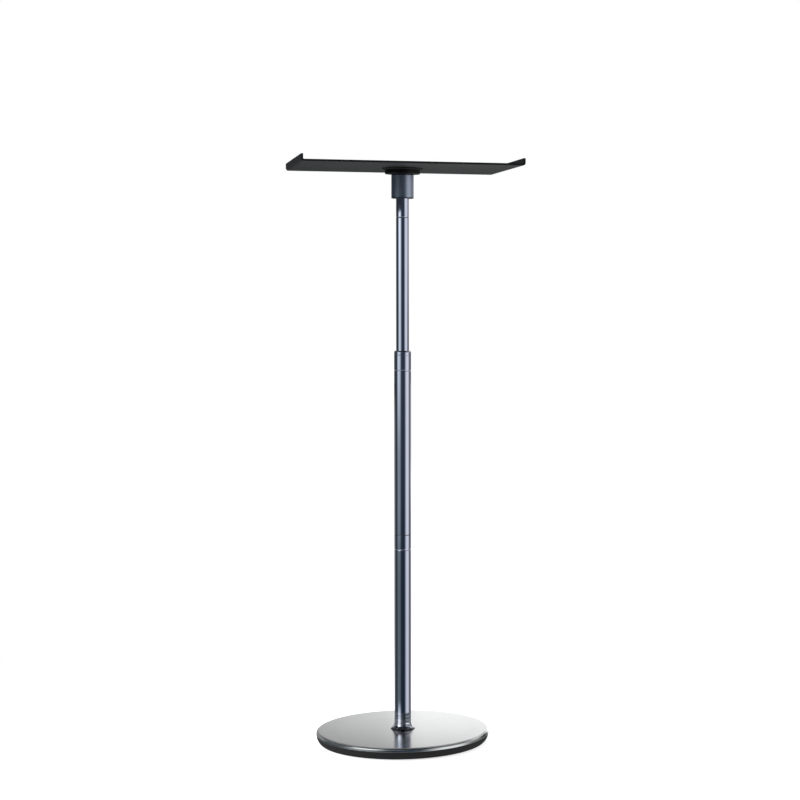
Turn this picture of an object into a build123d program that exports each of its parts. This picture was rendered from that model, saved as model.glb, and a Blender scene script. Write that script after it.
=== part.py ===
"""Portable projector stand: a weighted round base, a telescoping pole and a swivelling tray.

Millimetres, +Z up. The origin is on the floor, on the pole's axis.
The tray is long in X, and its front edge faces -Y.
"""
from build123d import *
import os

# Base: a spun cover over a cast weight that stands on a rubber ring
base_diameter = 258.0
base_height = 18.4
cover_wall = 1.5
shoulder_radius = 3.5
skirt_height = 2.4
rim_reveal = 0.3
rim_tuck = 5.4
recess_diameter = 204.0
recess_depth = 6.0
recess_rounding = 2.0
weight_hub_diameter = 64.0
foot_ring_diameter = 236.0
foot_ring_width = 10.0
foot_ring_drop = 1.0
foot_ring_seat = 1.5
foot_ring_bevel = 0.5

# Bolt that holds the pole to the base, from below
base_bolt_diameter = 8.0
base_bolt_head_diameter = 16.0
base_bolt_length = 30.0
base_bolt_socket = 5.0
base_bolt_socket_depth = 3.0
base_bolt_sink = 0.3

# Flared foot at the bottom of the pole
foot_flange_diameter = 36.4
foot_rim_height = 0.4
foot_flare_height = 10.8
foot_neck_height = 5.35
foot_pilot_diameter = 16.0
foot_pilot_depth = 4.0
foot_spigot_height = 22.0

# Outer tubes of the pole, screwed end to end
tube_diameter = 25.0
tube_wall = 1.2
lower_tube_length = 277.0
middle_tube_length = 268.1
tube_end_chamfer = 0.3
coupling_ring_height = 0.8
coupling_ring_inset = 0.6
coupling_lower_height = 24.0
coupling_upper_height = 16.0
coupling_bore_diameter = 16.0

# Rolled grooves round the tubes, each placed from the end that it is nearest to
groove_depth = 0.5
groove_rounding = 1.2
lower_groove_from_foot = 4.1
lower_groove_from_top = 21.8
middle_groove_from_top = 22.3
inner_groove_from_socket = 28.0

# Telescoping joint: collar, guide bushing and the slider on the inner tube
collar_height = 7.0
collar_rounding = 2.6
collar_spigot_height = 7.0
bushing_wall = 1.55
guide_height = 22.6
guide_slot_count = 4
guide_slot_width = 1.2
guide_slot_height = 16.0
inner_tube_wall = 1.2
inner_tube_shown = 225.8
guide_to_slider = 15.0
slider_height = 12.0
slider_spigot_height = 14.0
slider_bore_diameter = 10.0
slider_chamfer = 0.8

# Head of the pole and the swivel under the tray
socket_diameter = 33.0
socket_height = 34.6
socket_seat_depth = 22.0
socket_chamfer = 0.6
pivot_thread_diameter = 8.0
pivot_thread_length = 10.0
pivot_shoulder_diameter = 10.0
pivot_head_diameter = 16.0
pivot_head_height = 4.0
pivot_head_cover = 0.3
pivot_key = 5.0
pivot_key_depth = 2.4
washer_diameter = 31.0
washer_height = 1.0
hub_diameter = 52.0
hub_height = 6.3
hub_chamfer = 1.2
flange_diameter = 60.0
flange_height = 2.6
flange_bevel = 1.6

# Tray: one bent sheet with a lip at each end
tray_length = 321.5
tray_width = 244.0
tray_sheet = 3.0
tray_bend = 1.0
tray_corner = 1.0
lip_height = 7.75

# Countersunk screws that hold the tray to its flange
screw_count = 4
screw_circle_diameter = 44.0
screw_diameter = 4.0
screw_head_diameter = 8.0
screw_length = 8.0
screw_key = 2.5
screw_key_depth = 1.6

# Fits
seat_clearance = 0.05
slide_clearance = 0.2
running_gap = 0.2
thread_end_gap = 1.0

# Base levels and radii
base_radius = base_diameter / 2
weight_bottom = foot_ring_drop
cover_underside = base_height - cover_wall
skirt_bottom = base_height - shoulder_radius - skirt_height
core_radius = base_radius - cover_wall - seat_clearance
rim_radius = base_radius - rim_reveal
foot_ring_radius = foot_ring_diameter / 2
base_bolt_radius = base_bolt_diameter / 2
base_bolt_head_radius = base_bolt_head_diameter / 2

# Pole levels, from the base up
foot_height = foot_rim_height + foot_flare_height + foot_neck_height
lower_tube_bottom = base_height + foot_height
lower_tube_top = lower_tube_bottom + lower_tube_length
middle_tube_bottom = lower_tube_top + coupling_ring_height
middle_tube_top = middle_tube_bottom + middle_tube_length
collar_top = middle_tube_top + collar_height
guide_top = middle_tube_top - collar_spigot_height
guide_bottom = guide_top - guide_height
inner_tube_bottom = guide_bottom - guide_to_slider
socket_bottom = collar_top + inner_tube_shown
socket_top = socket_bottom + socket_height
inner_tube_top = socket_bottom + socket_seat_depth
inner_tube_length = inner_tube_top - inner_tube_bottom

# Pole radii, from the outside in
tube_radius = tube_diameter / 2
tube_bore_radius = tube_radius - tube_wall
spigot_radius = tube_bore_radius - seat_clearance
guide_bore_radius = spigot_radius - bushing_wall
inner_tube_radius = guide_bore_radius - slide_clearance
inner_bore_radius = inner_tube_radius - inner_tube_wall
slider_radius = tube_bore_radius - slide_clearance

# Swivel and tray levels
washer_top = socket_top + washer_height
hub_bottom = washer_top + running_gap
hub_top = hub_bottom + hub_height
tray_underside = hub_top + flange_height
tray_top = tray_underside + tray_sheet
lip_top = tray_top + lip_height
pivot_head_top = tray_underside - pivot_head_cover
pivot_head_bottom = pivot_head_top - pivot_head_height
pivot_seat = pivot_head_bottom - running_gap
pivot_thread_radius = pivot_thread_diameter / 2
pivot_shoulder_radius = pivot_shoulder_diameter / 2
pivot_head_radius = pivot_head_diameter / 2
screw_radius = screw_diameter / 2
screw_head_radius = screw_head_diameter / 2
screw_tip = tray_top - screw_length

UPSIDE_DOWN = (180, 0, 0)


def add_tube(outer_radius, bore_radius, bottom, length):
    """Add a plain tube, with its outer end edges broken, to the part being built."""
    with BuildSketch(Plane.XY.offset(bottom)) as ring:
        Circle(outer_radius)
        Circle(bore_radius, mode=Mode.SUBTRACT)
    tube = extrude(ring.sketch, amount=length)
    ends = tube.edges().filter_by(GeomType.CIRCLE).group_by(SortBy.RADIUS)[-1]
    chamfer(ends, length=tube_end_chamfer)


def cut_rolled_groove(outer_radius, level):
    """Cut a shallow round groove round the tube being built."""
    with BuildSketch(Plane.XZ) as groove:
        with Locations((outer_radius + groove_rounding - groove_depth, level)):
            Circle(groove_rounding)
    revolve(groove.sketch, axis=Axis.Z, mode=Mode.SUBTRACT)


def cut_hex_socket(level, across_flats, depth, rotation=(0, 0, 0)):
    """Sink a hexagon key socket into the bolt being built, square to its axis."""
    with BuildSketch(Plane(Location((0, 0, level), rotation))) as socket:
        RegularPolygon(across_flats / 2, 6, major_radius=False)
    extrude(socket.sketch, amount=-depth, mode=Mode.SUBTRACT)


# Base cover: a shallow spun shell with a rounded shoulder
with BuildPart() as base_cover:
    with BuildSketch(Plane.XY.offset(skirt_bottom)):
        Circle(base_radius)
    extrude(amount=base_height - skirt_bottom)
    fillet(base_cover.edges().group_by(Axis.Z)[-1], radius=shoulder_radius)
    offset(amount=-cover_wall, openings=base_cover.faces().sort_by(Axis.Z)[0])
    with Locations((0, 0, base_height)):
        Hole(foot_pilot_diameter / 2 + seat_clearance)
base_cover.part.label = "base_cover"

# Base weight: a casting that nests in the cover, with a rounded rim and a hollow underside
with BuildPart() as base_weight:
    with BuildSketch(Plane.XZ):
        with BuildLine():
            Polyline(
                (rim_radius, skirt_bottom),
                (core_radius, skirt_bottom),
                (core_radius, cover_underside),
                (0, cover_underside),
                (0, weight_bottom),
                (rim_radius - rim_tuck, weight_bottom),
            )
            TangentArc((rim_radius, skirt_bottom), (rim_radius - rim_tuck, weight_bottom), tangent=(0, -1))
        make_face()
    revolve(axis=Axis.Z)
    fillet(base_weight.edges().group_by(Axis.Z)[-1], radius=shoulder_radius - cover_wall)
    with BuildSketch(Plane.XY.offset(weight_bottom)):
        Circle(recess_diameter / 2)
        Circle(weight_hub_diameter / 2, mode=Mode.SUBTRACT)
    extrude(amount=recess_depth, mode=Mode.SUBTRACT)
    recess_floor = base_weight.faces().filter_by(Plane.XY).filter_by_position(
        Axis.Z, weight_bottom + recess_depth / 2, weight_bottom + recess_depth
    )
    fillet(recess_floor.edges(), radius=recess_rounding)
    with BuildSketch(Plane.XY.offset(weight_bottom)):
        Circle(foot_ring_radius + seat_clearance)
        Circle(foot_ring_radius - foot_ring_width - seat_clearance, mode=Mode.SUBTRACT)
    extrude(amount=foot_ring_seat, mode=Mode.SUBTRACT)
    with Locations((0, 0, cover_underside)):
        Hole(foot_pilot_diameter / 2 + seat_clearance, depth=foot_pilot_depth)
    with Locations(Location((0, 0, weight_bottom + base_bolt_sink), UPSIDE_DOWN)):
        CounterSinkHole(base_bolt_radius + seat_clearance, base_bolt_head_radius + seat_clearance)
base_weight.part.label = "base_weight"

# Rubber ring that the base stands on, seated in the weight's groove
with BuildPart() as base_foot_ring:
    with BuildSketch():
        Circle(foot_ring_radius)
        Circle(foot_ring_radius - foot_ring_width, mode=Mode.SUBTRACT)
    extrude(amount=foot_ring_drop + foot_ring_seat)
    chamfer(base_foot_ring.edges().group_by(Axis.Z)[0], length=foot_ring_bevel)
base_foot_ring.part.label = "base_foot_ring"

# Base bolt: countersunk, with a hexagon socket that faces the floor
base_bolt_bottom = weight_bottom + base_bolt_sink
with BuildPart() as base_bolt:
    with BuildSketch(Plane.XZ):
        with BuildLine():
            Polyline(
                (0, base_bolt_bottom),
                (base_bolt_head_radius, base_bolt_bottom),
                (base_bolt_radius, base_bolt_bottom + base_bolt_head_radius - base_bolt_radius),
                (base_bolt_radius, base_bolt_bottom + base_bolt_length),
                (0, base_bolt_bottom + base_bolt_length),
                close=True,
            )
        make_face()
    revolve(axis=Axis.Z)
    cut_hex_socket(base_bolt_bottom, base_bolt_socket, base_bolt_socket_depth, UPSIDE_DOWN)
base_bolt.part.label = "base_bolt"

# Pole foot: a trumpet flare with a thin rim, a pilot into the base and a spigot into the tube
foot_flange_radius = foot_flange_diameter / 2
flare_bottom = base_height + foot_rim_height
flare_top = flare_bottom + foot_flare_height
foot_pilot_bottom = cover_underside - foot_pilot_depth
with BuildPart() as pole_foot:
    with BuildSketch(Plane.XZ):
        with BuildLine():
            Polyline(
                (foot_flange_radius, flare_bottom),
                (foot_flange_radius, base_height),
                (foot_pilot_diameter / 2, base_height),
                (foot_pilot_diameter / 2, foot_pilot_bottom),
                (0, foot_pilot_bottom),
                (0, lower_tube_bottom + foot_spigot_height),
                (spigot_radius, lower_tube_bottom + foot_spigot_height),
                (spigot_radius, lower_tube_bottom),
                (tube_radius - tube_end_chamfer, lower_tube_bottom),
                (tube_radius, lower_tube_bottom - tube_end_chamfer),
                (tube_radius, flare_top),
            )
            TangentArc((tube_radius, flare_top), (foot_flange_radius, flare_bottom), tangent=(0, -1))
        make_face()
    revolve(axis=Axis.Z)
    bolt_reach = base_bolt_bottom + base_bolt_length + thread_end_gap
    with Locations(Location((0, 0, foot_pilot_bottom), UPSIDE_DOWN)):
        Hole(base_bolt_radius + seat_clearance, depth=bolt_reach - foot_pilot_bottom)
pole_foot.part.label = "pole_foot"

# Lower tube, with a groove near each end
with BuildPart() as lower_tube:
    add_tube(tube_radius, tube_bore_radius, lower_tube_bottom, lower_tube_length)
    cut_rolled_groove(tube_radius, lower_tube_bottom + lower_groove_from_foot)
    cut_rolled_groove(tube_radius, lower_tube_top - lower_groove_from_top)
lower_tube.part.label = "lower_tube"

# Coupling: a sleeve in both outer tubes, with a recessed ring that shows as a dark line between them
with BuildPart() as tube_coupling:
    with BuildSketch(Plane.XY.offset(lower_tube_top - coupling_lower_height)):
        Circle(spigot_radius)
    extrude(amount=coupling_lower_height + coupling_ring_height + coupling_upper_height)
    chamfer(tube_coupling.edges().filter_by(GeomType.CIRCLE), length=slider_chamfer)
    with BuildSketch(Plane.XY.offset(lower_tube_top)):
        Circle(tube_radius - coupling_ring_inset)
    extrude(amount=coupling_ring_height)
    with Locations((0, 0, middle_tube_bottom + coupling_upper_height)):
        Hole(coupling_bore_diameter / 2)
tube_coupling.part.label = "tube_coupling"

# Middle tube, grooved where it is rolled on to the guide bushing
with BuildPart() as middle_tube:
    add_tube(tube_radius, tube_bore_radius, middle_tube_bottom, middle_tube_length)
    cut_rolled_groove(tube_radius, middle_tube_top - middle_groove_from_top)
middle_tube.part.label = "middle_tube"

# Collar: a flush end ring with a rounded shoulder and a spigot that keeps the bushing in
with BuildPart() as collar:
    with BuildSketch(Plane.XY.offset(middle_tube_top)):
        Circle(tube_radius)
    extrude(amount=collar_height)
    fillet(collar.edges().group_by(Axis.Z)[-1], radius=collar_rounding)
    chamfer(collar.edges().group_by(Axis.Z)[0], length=tube_end_chamfer)
    with BuildSketch(Plane.XY.offset(guide_top)):
        Circle(spigot_radius)
    extrude(amount=collar_spigot_height)
    with Locations((0, 0, collar_top)):
        Hole(guide_bore_radius)
collar.part.label = "collar"

# Guide bushing: the plastic sleeve that the inner tube runs in, slit into fingers that grip it
with BuildPart() as guide_bushing:
    with BuildSketch(Plane.XY.offset(guide_bottom)):
        Circle(spigot_radius)
        Circle(guide_bore_radius, mode=Mode.SUBTRACT)
    extrude(amount=guide_height)
    with BuildSketch(Plane.XY.offset(guide_bottom)):
        with PolarLocations(spigot_radius - bushing_wall / 2, guide_slot_count):
            Rectangle(3 * bushing_wall, guide_slot_width)
    extrude(amount=guide_slot_height, mode=Mode.SUBTRACT)
guide_bushing.part.label = "guide_bushing"

# Inner tube, which slides in the bushing
with BuildPart() as inner_tube:
    add_tube(inner_tube_radius, inner_bore_radius, inner_tube_bottom, inner_tube_length)
    cut_rolled_groove(inner_tube_radius, socket_bottom - inner_groove_from_socket)
inner_tube.part.label = "inner_tube"

# Slider: a plastic plug on the inner tube's lower end, stopped by the bushing at full height
with BuildPart() as slider:
    with BuildSketch(Plane.XY.offset(inner_tube_bottom - slider_height)):
        Circle(slider_radius)
    extrude(amount=slider_height)
    chamfer(slider.edges().filter_by(GeomType.CIRCLE), length=slider_chamfer)
    with BuildSketch(Plane.XY.offset(inner_tube_bottom)):
        Circle(inner_bore_radius - seat_clearance)
    extrude(amount=slider_spigot_height)
    with Locations((0, 0, inner_tube_bottom + slider_spigot_height)):
        Hole(slider_bore_diameter / 2)
slider.part.label = "slider"

# Head socket: a turned cylinder over the top of the inner tube, tapped for the pivot bolt
with BuildPart() as head_socket:
    with BuildSketch(Plane.XY.offset(socket_bottom)):
        Circle(socket_diameter / 2)
    extrude(amount=socket_height)
    chamfer(head_socket.edges().filter_by(GeomType.CIRCLE), length=socket_chamfer)
    with Locations(Location((0, 0, socket_bottom), UPSIDE_DOWN)):
        Hole(inner_tube_radius + seat_clearance, depth=socket_seat_depth)
    with Locations((0, 0, socket_top)):
        Hole(pivot_thread_radius + seat_clearance, depth=pivot_thread_length + thread_end_gap)
head_socket.part.label = "head_socket"

# Swivel washer between the head and the hub
with BuildPart() as swivel_washer:
    with BuildSketch(Plane.XY.offset(socket_top)):
        Circle(washer_diameter / 2)
        Circle(pivot_shoulder_radius + seat_clearance, mode=Mode.SUBTRACT)
    extrude(amount=washer_height)
swivel_washer.part.label = "swivel_washer"

# Pivot bolt: a shouldered bolt that the hub turns on
with BuildPart() as pivot_bolt:
    with BuildSketch(Plane.XZ):
        with BuildLine():
            Polyline(
                (0, socket_top - pivot_thread_length),
                (pivot_thread_radius, socket_top - pivot_thread_length),
                (pivot_thread_radius, socket_top),
                (pivot_shoulder_radius, socket_top),
                (pivot_shoulder_radius, pivot_head_bottom),
                (pivot_head_radius, pivot_head_bottom),
                (pivot_head_radius, pivot_head_top),
                (0, pivot_head_top),
                close=True,
            )
        make_face()
    revolve(axis=Axis.Z)
    cut_hex_socket(pivot_head_top, pivot_key, pivot_key_depth)
pivot_bolt.part.label = "pivot_bolt"

# Tray flange: a bevelled plate and a thicker hub turned in one piece
with BuildPart() as tray_flange:
    with BuildSketch(Plane.XY.offset(hub_top)):
        Circle(flange_diameter / 2)
    extrude(amount=flange_height)
    chamfer(tray_flange.edges().group_by(Axis.Z)[0], length=flange_bevel)
    with BuildSketch(Plane.XY.offset(hub_bottom)):
        Circle(hub_diameter / 2)
    extrude(amount=hub_height)
    chamfer(tray_flange.edges().group_by(Axis.Z)[0], length=hub_chamfer)
    with Locations((0, 0, tray_underside)):
        CounterBoreHole(
            pivot_shoulder_radius + seat_clearance,
            pivot_head_radius + running_gap,
            counter_bore_depth=tray_underside - pivot_seat,
        )
    with Locations((0, 0, tray_underside)):
        with PolarLocations(screw_circle_diameter / 2, screw_count, start_angle=45):
            Hole(screw_radius + seat_clearance, depth=tray_underside - screw_tip + running_gap)
tray_flange.part.label = "tray_flange"

# Tray: a flat sheet with both ends bent up into low lips
with BuildPart() as tray:
    with BuildSketch(Plane.XZ):
        with Locations((0, tray_underside)):
            sheet = Rectangle(tray_length, lip_top - tray_underside, align=(Align.CENTER, Align.MIN))
        fillet(sheet.vertices().group_by(Axis.Y)[0], radius=tray_bend + tray_sheet)
    extrude(amount=tray_width / 2, both=True)
    with BuildSketch(Plane.XZ):
        with Locations((0, tray_top)):
            hollow = Rectangle(tray_length - 2 * tray_sheet, 2 * lip_height, align=(Align.CENTER, Align.MIN))
        fillet(hollow.vertices().group_by(Axis.Y)[0], radius=tray_bend)
    extrude(amount=tray_width / 2, both=True, mode=Mode.SUBTRACT)
    lip_corners = tray.edges().filter_by(Axis.X).group_by(Axis.Z)[-1]
    fillet(lip_corners, radius=tray_corner)
    with Locations((0, 0, tray_top)):
        with PolarLocations(screw_circle_diameter / 2, screw_count, start_angle=45):
            CounterSinkHole(screw_radius + seat_clearance, screw_head_radius + seat_clearance)
tray.part.label = "tray"

# Tray screws: countersunk, flush with the tray's top
with BuildPart() as tray_screw:
    with BuildSketch(Plane.XZ):
        with BuildLine():
            Polyline(
                (0, screw_tip),
                (screw_radius, screw_tip),
                (screw_radius, tray_top - (screw_head_radius - screw_radius)),
                (screw_head_radius, tray_top),
                (0, tray_top),
                close=True,
            )
        make_face()
    revolve(axis=Axis.Z)
    cut_hex_socket(tray_top, screw_key, screw_key_depth)

with BuildPart() as tray_screws:
    with PolarLocations(screw_circle_diameter / 2, screw_count, start_angle=45):
        add(tray_screw.part)
tray_screws.part.label = "tray_screws"

pieces = [
    base_cover,
    base_weight,
    base_foot_ring,
    base_bolt,
    pole_foot,
    lower_tube,
    tube_coupling,
    middle_tube,
    collar,
    guide_bushing,
    inner_tube,
    slider,
    head_socket,
    swivel_washer,
    pivot_bolt,
    tray_flange,
    tray,
    tray_screws,
]
os.makedirs("parts", exist_ok=True)
for piece in pieces:
    export_step(piece.part, f"parts/{piece.part.label}.step")
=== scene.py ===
"""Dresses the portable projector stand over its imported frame, and sets its stage."""
import math

import bmesh
import bpy
from bpy.props import FloatProperty, FloatVectorProperty, IntProperty, PointerProperty
from mathutils import Euler, Matrix, Vector


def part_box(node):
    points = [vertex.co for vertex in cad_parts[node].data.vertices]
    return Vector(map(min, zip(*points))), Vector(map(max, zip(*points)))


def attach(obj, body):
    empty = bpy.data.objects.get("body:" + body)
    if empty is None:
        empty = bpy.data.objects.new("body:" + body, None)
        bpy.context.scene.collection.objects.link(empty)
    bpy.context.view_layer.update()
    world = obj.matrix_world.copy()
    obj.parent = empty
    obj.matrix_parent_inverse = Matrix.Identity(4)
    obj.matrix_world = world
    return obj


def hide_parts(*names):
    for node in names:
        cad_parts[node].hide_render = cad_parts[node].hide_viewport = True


bl_info = {
    "name": "Projector stand dressing",
    "version": (1, 0, 0),
    "blender": (4, 5, 0),
    "location": "View3D > Sidebar > Stand",
    "description": "Builds the visible pieces, finishes and stage of a portable projector stand",
    "category": "Object",
}

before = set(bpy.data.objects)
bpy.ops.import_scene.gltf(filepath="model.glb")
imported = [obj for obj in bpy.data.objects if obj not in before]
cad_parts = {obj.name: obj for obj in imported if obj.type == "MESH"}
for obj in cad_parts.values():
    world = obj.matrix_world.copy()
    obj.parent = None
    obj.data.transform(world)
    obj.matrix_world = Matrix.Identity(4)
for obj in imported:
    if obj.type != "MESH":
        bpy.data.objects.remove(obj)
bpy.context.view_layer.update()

MM = 0.001
RING_TOLERANCE = 0.02 * MM
SHARP_ANGLE = math.radians(35.0)
SQUARE_ANGLE = math.radians(60.0)
POLE_STEPS = 96
FLANGE_STEPS = 192
BASE_STEPS = 240

# Gaps where one piece sits in another
FIT_GAP = 0.05 * MM
SLIDE_GAP = 0.2 * MM
# The weight's hollow and hub, and the rubber ring with its ribs as shares of their pitch
RECESS_RADIUS = 102.0 * MM
RECESS_HEIGHT = 6.0 * MM
WEIGHT_HUB_RADIUS = 32.0 * MM
RING_WIDTH = 10.0 * MM
RIB_SHARE = 0.6
RIB_SLOPE = 0.1
# Bores and seats of the bolts and of the foot's pilot
BOLT_BORE = 4.05 * MM
BOLT_HEAD_BORE = 8.05 * MM
BOLT_HEAD_DEPTH = 0.3 * MM
PILOT_DEPTH = 4.0 * MM
PIVOT_BORE = 5.05 * MM
PIVOT_SEAT_RADIUS = 8.2 * MM
PIVOT_SEAT_DEPTH = 4.5 * MM
# Rolled grooves, from a tube's end or the head socket, and their roundings as shares of half a groove
FOOT_GROOVE = 4.1 * MM
COUPLING_GROOVE = 21.8 * MM
COLLAR_GROOVE = 22.3 * MM
HEAD_GROOVE = 28.0 * MM
GROOVE_FLOOR_SHARE = 0.7
GROOVE_EDGE_SHARE = 0.2
# Roundings and bevels, and the foot's as a share of its rim
CASTING_FILLET = 2.0 * MM
CASTING_EDGE = 0.6 * MM
WEIGHT_RIM_EDGE = 0.5 * MM
FOOT_RIM_SHARE = 0.3
FLANGE_BEVEL = 1.6 * MM
HUB_EDGE = 1.2 * MM
# Countersunk holes in the tray
SCREW_COUNT = 4
SINK_SPARE = 0.5 * MM
# Painted shade in the corners where the foot meets the base and the socket meets the inner tube: its
# heights, and the share of the colour left in it
FOOT_SHADE_HEIGHT = 5.0 * MM
SOCKET_SHADE_HEIGHT = 2.5 * MM
SHADE_SHARE = 0.06
# Each coat: roughness, size of its grain, relief, specular level
COATS = {
    "black_powder_coat": (0.48, 0.5 * MM, 0.03 * MM, 0.4),
    "black_moulded_plastic": (0.5, 0.3 * MM, 0.01 * MM, 0.4),
    "black_rubber": (0.8, 0.4 * MM, 0.03 * MM, 0.3),
    "charcoal_casting": (0.6, 0.7 * MM, 0.05 * MM, 0.15),
    "black_turned_coat": (0.42, 0.3 * MM, 0.01 * MM, 0.2),
    "blackened_screw": (0.35, 0.2 * MM, 0.005 * MM, 0.5),
}
PLASTIC_COLOUR = (0.018, 0.018, 0.019)
RUBBER_COLOUR = (0.014, 0.014, 0.014)
TURNED_COLOUR = (0.004, 0.004, 0.0042)
SCREW_COLOUR = (0.03, 0.03, 0.031)
STEEL_COLOUR = (0.56, 0.57, 0.58)
# Middle range of a noise mask
MASK_LOW, MASK_HIGH = 0.3, 0.7

SENSOR_WIDTH = 36.0
VIEW_REACH = 100.0
FLOOR_HALF = 20.0
FLOOR_PAINT = (0.8, 0.8, 0.8, 1.0)
FLOOR_GLOW = (0.72, 0.72, 0.72, 1.0)
FLOOR_NEAR, FLOOR_FAR = 0.3, 1.0
WHITE = (1.0, 1.0, 1.0, 1.0)
LAMP_AIM = Vector((0.0, 0.0, 0.45))
# Each lamp: name, azimuth from the camera's, rise, distance from the aim, size, power
LAMPS = [
    ("key_lamp", -80, 30, 2.6, 1.4, 60),
    ("fill_lamp", 85, 35, 2.4, 1.4, 14),
    ("top_lamp", 170, 65, 2.4, 1.6, 24),
]

DOME_RADIUS = 300.0
DOME_GAP = 0.001
DOME_RISES = [*range(-90, -30, 5), *[i / 2 for i in range(-60, 90)], *range(45, 91, 5)]
DARK = (0.07, 0.085, 0.09)
DIMMEST = 0.004
# Each panel of the dome: azimuths from and to, soft before and after; rises from and to, soft below and
# above; the tone that it adds. Azimuths count from the camera's.
PANELS = [
    (-12, 24, 30, 30, -90, 6, 1, 4, (-0.05, -0.05, -0.035)),
    (-50, -4, 10, 10, 9, 34, 3, 10, (0.11, 0.11, 0.11)),
    (48, 112, 16, 16, 19, 32, 4, 10, (0.34, 0.34, 0.34)),
    (-180, 180, 0, 0, 22, 90, 12, 1, (-0.05, -0.06, -0.06)),
    (-70, -48, 9, 34, -12.7, 3.5, 0.5, 2, (0.1, 0.12, 0.12)),
    (-75, -15, 10, 10, -28, -13.2, 4, 0.5, (-0.05, -0.06, -0.06)),
    (-70, -48, 9, 34, -6.1, 3.5, 2.8, 2, (0.16, 0.18, 0.18)),
    (-70, -48, 9, 34, -1.8, 3.5, 3.6, 2, (0.6, 0.63, 0.64)),
    (-70, -48, 9, 34, 2.2, 3.5, 3.6, 2, (0.44, 0.45, 0.45)),
    (-66, -44, 8, 26, 9.5, 33, 2.5, 6, (1.38, 1.41, 1.44)),
    (-125, -78, 8, 6, -13, 4.5, 1, 1.5, (-0.01, -0.012, -0.012)),
    (-122, -78, 8, 8, 9.5, 14.5, 3, 4, (0.24, 0.25, 0.26)),
    (140, 220, 40, 40, 34, 78, 10, 10, (0.2, 0.2, 0.2)),
    (85, 275, 20, 20, 52, 82, 10, 6, (0.2, 0.2, 0.2)),
    (118, 170, 10, 8, 16, 31, 4, 6, (0.75, 0.75, 0.75)),
    (60, 78.5, 38, 26, -90, 6, 1, 4, (1, 1, 1)),
    (60, 78.5, 38, 26, -90, -12, 1, 8, (-0.14, -0.13, -0.12)),
    (106, 156, 30, 14, -90, 10, 1, 10, (0.12, 0.11, 0.1)),
    (98, 150, 14, 14, 1.8, 7, 4, 4, (0.32, 0.32, 0.33)),
    (-30, 8, 20, 16, -4, 6, 5, 4, (0.022, 0.024, 0.027)),
    (-90, -45, 20, 30, -90, -28, 1, 8, (0.5, 0.5, 0.52)),
    (-180, 180, 0, 0, -90, -28, 1, 8, (0.3, 0.3, 0.3)),
    (-180, 180, 0, 0, 78, 90, 16, 1, (0.08, 0.08, 0.08)),
]
CARD_LEVELS = [i * 0.01 for i in range(-20, 50)]
CARD_HALF = math.radians(60.0)
# The card in the same way, with levels in place of rises
CARD = [
    (150, 180, 10, 28, -0.2, 0.26, 0.02, 0.09, (0.65, 0.65, 0.65)),
    (150, 180, 10, 28, -0.2, 0.2, 0.02, 0.12, (0.36, 0.36, 0.36)),
    (150, 178.5, 10, 3, -0.2, 0.275, 0.02, 0.1, (0.3, 0.3, 0.3)),
    (150, 178.5, 10, 3, 0.25, 0.28, 0.04, 0.09, (0.26, 0.26, 0.26)),
    (207, 240, 14, 1, -0.2, 0.4, 0.02, 0.1, (0.3, 0.3, 0.3)),
    (128, 148, 6, 8, 0.32, 0.5, 0.08, 0.05, (0.6, 0.6, 0.6)),
]
FLAG_HEIGHTS = (0.0, 0.4, 0.8)
FLAG_HALF, FLAG_MIDDLE = math.radians(55.0), math.radians(-65.0)
FLAG_TONE = (0.04, 0.045, 0.055)
PATCH_LEVEL = -0.03
PATCH_DISTANCES = [0.3 + i * 0.01 for i in range(20)]
PATCH_HALF, PATCH_MIDDLE = math.radians(60.0), math.radians(-50.0)
# The patch with distances in place of rises, over the dome's tone at the rise that it hides
PATCH_RISE = -12.4
PATCH = [(-61, -48, 8, 34, 0.32, 0.335, 0.01, 0.115, (0.75, 0.78, 0.8))]


def node_radius(node):
    """Outer radius of a round CAD node."""
    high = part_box(node)[1]
    return max(high.x, high.y)


def node_span(node):
    """Lowest and highest level of a CAD node."""
    low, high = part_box(node)
    return low.z, high.z


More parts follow.
